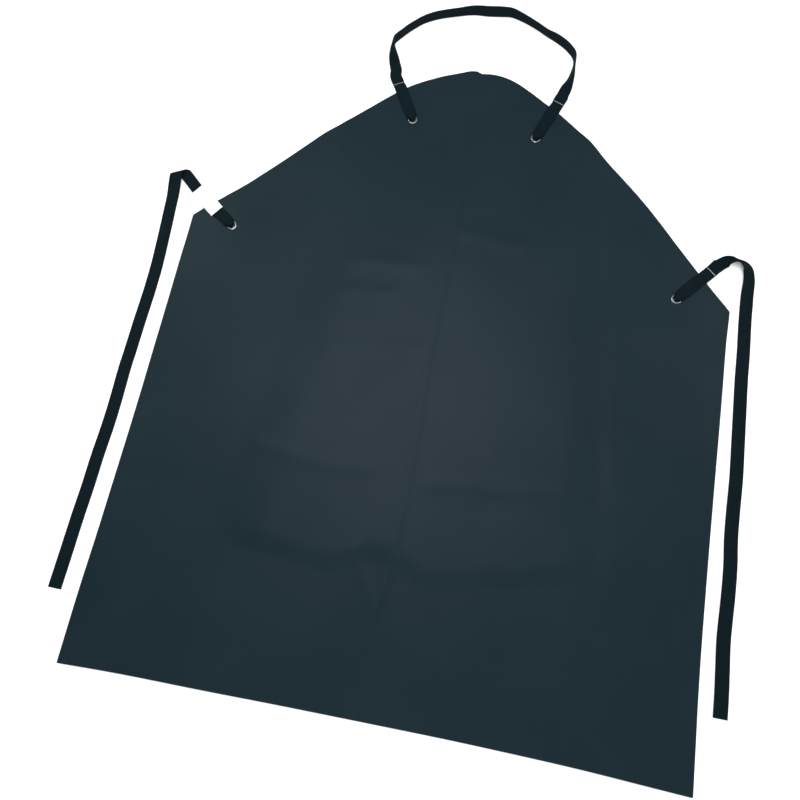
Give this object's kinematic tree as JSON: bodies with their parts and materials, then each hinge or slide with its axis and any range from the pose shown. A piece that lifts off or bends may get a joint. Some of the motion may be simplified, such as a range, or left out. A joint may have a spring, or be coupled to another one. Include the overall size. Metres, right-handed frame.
{
  "type": "lead apron",
  "caption": "Bib-style protective sheet apron in lead-loaded rubber, with a webbing neck strap and two waist ties threaded through metal eyelets and stapled.",
  "frame": {"origin": "centre of the skirt's flat back face, which lies on the surface under the apron", "axes": "+X to the right side as seen from the front, +Y from the hem towards the neck strap, +Z out of the front face, up as the apron lies on its back"},
  "size_m": [0.9905, 1.2126, 0.0205],
  "materials": {
    "rubber_cover": "smooth satin rubber sheet",
    "lead_rubber": "matte lead-loaded rubber, sealed inside the covers",
    "eyelet_metal": "nickel plated, polished",
    "staple_wire": "bright flat wire",
    "webbing": "woven synthetic webbing",
    "label": "plain white label tape, blank"
  },
  "bodies": {
    "panel": {"front_cover": "rubber_cover", "lead_core": "lead_rubber", "back_cover": "rubber_cover", "eyelet_neck_left": "eyelet_metal", "eyelet_neck_right": "eyelet_metal", "eyelet_waist_left": "eyelet_metal", "eyelet_waist_right": "eyelet_metal", "washer_neck_left": "eyelet_metal", "washer_neck_right": "eyelet_metal", "washer_waist_left": "eyelet_metal", "washer_waist_right": "eyelet_metal", "loop_neck_left": "webbing", "loop_neck_right": "webbing", "loop_waist_left": "webbing", "loop_waist_right": "webbing", "staple_neck_left": "staple_wire", "staple_neck_right": "staple_wire", "staple_waist_left": "staple_wire", "staple_waist_right": "staple_wire", "size_label": "label"},
    "neck_strap": {"neck_band": "webbing"},
    "left_tie_root": {"tie_root_left": "webbing"},
    "right_tie_root": {"tie_root_right": "webbing"},
    "left_tie_tail": {"tie_tail_left": "webbing"},
    "right_tie_tail": {"tie_tail_right": "webbing"}
  },
  "joints": [
    {"name": "neck_strap_fold", "type": "hinge", "parent": "panel", "child": "neck_strap", "pos_m": [0, 0.72, 0.0006], "axis": [1, 0, 0], "range_deg": [-120, 120]},
    {"name": "left_tie_fold", "type": "hinge", "parent": "panel", "child": "left_tie_root", "pos_m": [-0.45222, 0.42965, 0.0006], "axis": [0.5807, 0.8141, 0], "range_deg": [-90, 90]},
    {"name": "right_tie_fold", "type": "hinge", "parent": "panel", "child": "right_tie_root", "pos_m": [0.42831, 0.43691, 0.0006], "axis": [0.749, -0.6626, 0], "range_deg": [-90, 90]},
    {"name": "left_tie_swing", "type": "hinge", "parent": "left_tie_root", "child": "left_tie_tail", "pos_m": [-0.4765, 0.4468, 0.01], "axis": [0, 0, -1], "range_deg": [0, 90]},
    {"name": "right_tie_swing", "type": "hinge", "parent": "right_tie_root", "child": "right_tie_tail", "pos_m": [0.455, 0.4503, 0.01], "axis": [0, 0, 1], "range_deg": [0, 90]}
  ]
}
